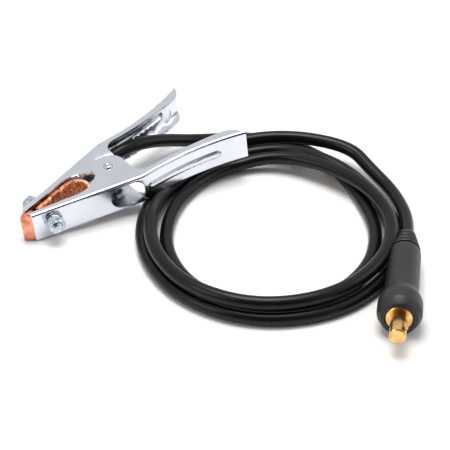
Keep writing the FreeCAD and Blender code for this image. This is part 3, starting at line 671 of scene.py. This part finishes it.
def braidLine():
    # Middle line of the braid on the clamp's frame, in mm: straight, a round fold, straight again
    start, bend = [webFrame @ Vector((run * mm, braid["level"] * mm, 0)) / mm for run in (braid["from"],
                                                                                        braid["to"])]
    fold = braid["foldReach"]
    reach = fold - bend.x
    radius = (reach ** 2 + bend.y ** 2) / (2 * reach)
    centre = Vector((fold - radius, 0, 0))
    half = math.atan2(bend.y, bend.x - centre.x)
    straight, halfFold = braid["straightSteps"], braid["halfFoldSteps"]
    line = [start.lerp(bend, share / straight) for share in range(straight)]
    line += [centre + radius * Vector((math.cos(half * s), math.sin(half * s), 0))
             for s in [1 - i / halfFold for i in range(2 * halfFold + 1)]]
    line += [Vector((p.x, -p.y, 0)) for p in reversed(line[:straight])]
    return line


def alongLine(line, share):
    lengths = [0]
    for a, b in zip(line, line[1:]):
        lengths.append(lengths[-1] + (b - a).length)
    want = share * lengths[-1]
    for i in range(len(line) - 1):
        if want <= lengths[i + 1] or i == len(line) - 2:
            part = (want - lengths[i]) / (lengths[i + 1] - lengths[i])
            before = line[max(i - 1, 0)]
            after = line[min(i + 2, len(line) - 1)]
            return line[i].lerp(line[i + 1], part), (after - before).normalized()


def ovalPoint(turn):
    # Round the braid's flattened section: place across and up, and the way out
    high, thick = braid["halfHeight"], braid["halfThick"]
    way = 2 * math.pi * turn
    c, s = math.cos(way), math.sin(way)
    up = high * math.copysign(abs(s) ** 0.55, s)
    out = thick * math.copysign(abs(c) ** 0.55, c)
    normal = Vector((out / thick, up / high, 0))
    return out, up, normal.normalized()


def makeBraid():
    line = braidLine()
    total = sum((b - a).length for a, b in zip(line, line[1:]))
    girth = 4 * braid["halfHeight"]
    wraps = total * math.tan(math.radians(braid["lean"])) / girth
    samples, bundles, sides = braid["samples"], braid["bundles"], braid["sides"]
    middle = [alongLine(line, step / samples) for step in range(samples + 1)]
    points, faces, across = [], [], []
    section = [(math.cos(2 * math.pi * i / sides), math.sin(2 * math.pi * i / sides)) for i in range(sides)]
    for hand in (1, -1):
        for bundle in range(bundles):
            path = []
            for step, (place, way) in enumerate(middle):
                share = step / samples
                turn = bundle / bundles + hand * share * wraps
                out, up, normal = ovalPoint(turn)
                phase = bundles * share * wraps + 0.5 * bundle
                lift = hand * braid["wave"] * math.sin(2 * math.pi * phase)
                side = Vector((-way.y, way.x, 0))
                outward = side * normal.x + Vector((0, 0, 1)) * normal.y
                path.append((place + side * out + Vector((0, 0, up)) + outward * lift, outward))
            first = len(points)
            for step, (spot, outward) in enumerate(path):
                ahead = (path[min(step + 1, samples)][0] - path[max(step - 1, 0)][0]).normalized()
                sideways = ahead.cross(outward).normalized()
                for c, s in section:
                    offset = sideways * c * braid["width"] + outward * s * braid["thick"]
                    points.append((spot + offset) * mm)
            for step in range(samples):
                for i in range(sides):
                    j = (i + 1) % sides
                    a, b = first + step * sides, first + (step + 1) * sides
                    faces.append((a + i, a + j, b + j, b + i))
                    length = step / samples * total
                    for corner, along in ((i, 0), (i + 1, 0), (i + 1, 1), (i, 1)):
                        across.append((math.cos(2 * math.pi * corner / sides) * 0.5 + 0.5, length + along))
            for row, turnRound in ((first, True), (first + samples * sides, False)):
                cap = [row + i for i in range(sides)]
                faces.append(cap[::-1] if turnRound else cap)
                across += [(0.5, 0)] * sides
    piece = addMesh("copperBraid", points, [], faces)
    layer = piece.data.uv_layers.new(name="bundle")
    for corner, place in zip(layer.data, across):
        corner.uv = place
    piece.data.transform(clampFrame)
    inEditMode(piece, lambda: bpy.ops.mesh.normals_make_consistent(inside=False))
    makeActive(piece)
    bpy.ops.object.shade_smooth_by_angle(angle=math.radians(70))
    piece.data.materials.append(materials["copper_braid"])
    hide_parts("copper_braid")
    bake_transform(piece)


makeBraid()
print("braid woven")


# Nodes that stay as they are, inside the lug and the plug

for node, slotName in (("cable_core", "copper_wire"), ("plug_core", "copper_wire"),
                       ("cable_end", "cable_rubber")):
    stays = frame["nodes"][node]
    stays.data.materials.clear()
    stays.data.materials.append(materials[slotName])


# Floor and light

def makeFloor():
    bpy.ops.object.select_all(action="DESELECT")
    bpy.ops.mesh.primitive_plane_add(size=8, location=(0, 0, -0.1 * mm))
    floor = bpy.context.object
    floor.name = "floor"
    material = newMaterial("palePaper")               # matt white background paper
    place = addNode(material, "TexCoord").outputs["Object"]
    fibre = addNode(material, "TexNoise", {"Vector": place, "Scale": 3.0, "Detail": 2.0})
    tone = rampOf(material, fibre.outputs["Fac"], [(0.3, linear("#F6F6F6")), (0.7, linear("#FAFAFA"))])
    shader = addNode(material, "BsdfPrincipled", {"Base Color": tone, "Roughness": 0.9})
    floor.data.materials.append(finishMaterial(material, shader))


def addLight(name, place, size, power, colour, aim=(0.05, -0.08, 0)):
    data = bpy.data.lights.new(name, "AREA")
    data.shape, data.size, data.energy, data.color = "DISK", size, power, linear(colour)[:3]
    light = bpy.data.objects.new(name, data)
    light.location = place
    light.rotation_euler = (Vector(aim) - Vector(place)).to_track_quat("-Z", "Y").to_euler()
    scene.collection.objects.link(light)


room = {"darkWay": Vector((-0.60, -0.72, 0.34)), "brightTo": 0.58, "darkFrom": 0.80, "strength": 0.77}
makeFloor()
addLight("overheadSoftbox", (0.10, 0.05, 1.5), 0.9, 17, "#FFFDFA")
addLight("leftSoftbox", (-1.3, 0.1, 0.9), 0.7, 4, "#FFF4E8")
addLight("rightFill", (1.3, -0.9, 0.8), 0.9, 3, "#EEF3FF")
world = bpy.data.worlds.new("studio")
world.use_nodes = True
backdrop = world.node_tree.nodes["Background"]
# White studio walls, and the dark end of the room behind the camera
wayOut = addNode(world, "TexCoord").outputs["Generated"]
behind = addNode(world, "VectorMath", {0: wayOut, 1: tuple(room["darkWay"])}, operation="DOT_PRODUCT")
walls = rampOf(world, behind.outputs["Value"],
               [(room["brightTo"], (1, 1, 1, 1)), (room["darkFrom"], (0.03, 0.03, 0.035, 1))])
world.node_tree.links.new(walls, backdrop.inputs["Color"])
backdrop.inputs["Strength"].default_value = room["strength"]
scene.world = world
scene.view_settings.view_transform = "Standard"
print("floor and light placed")
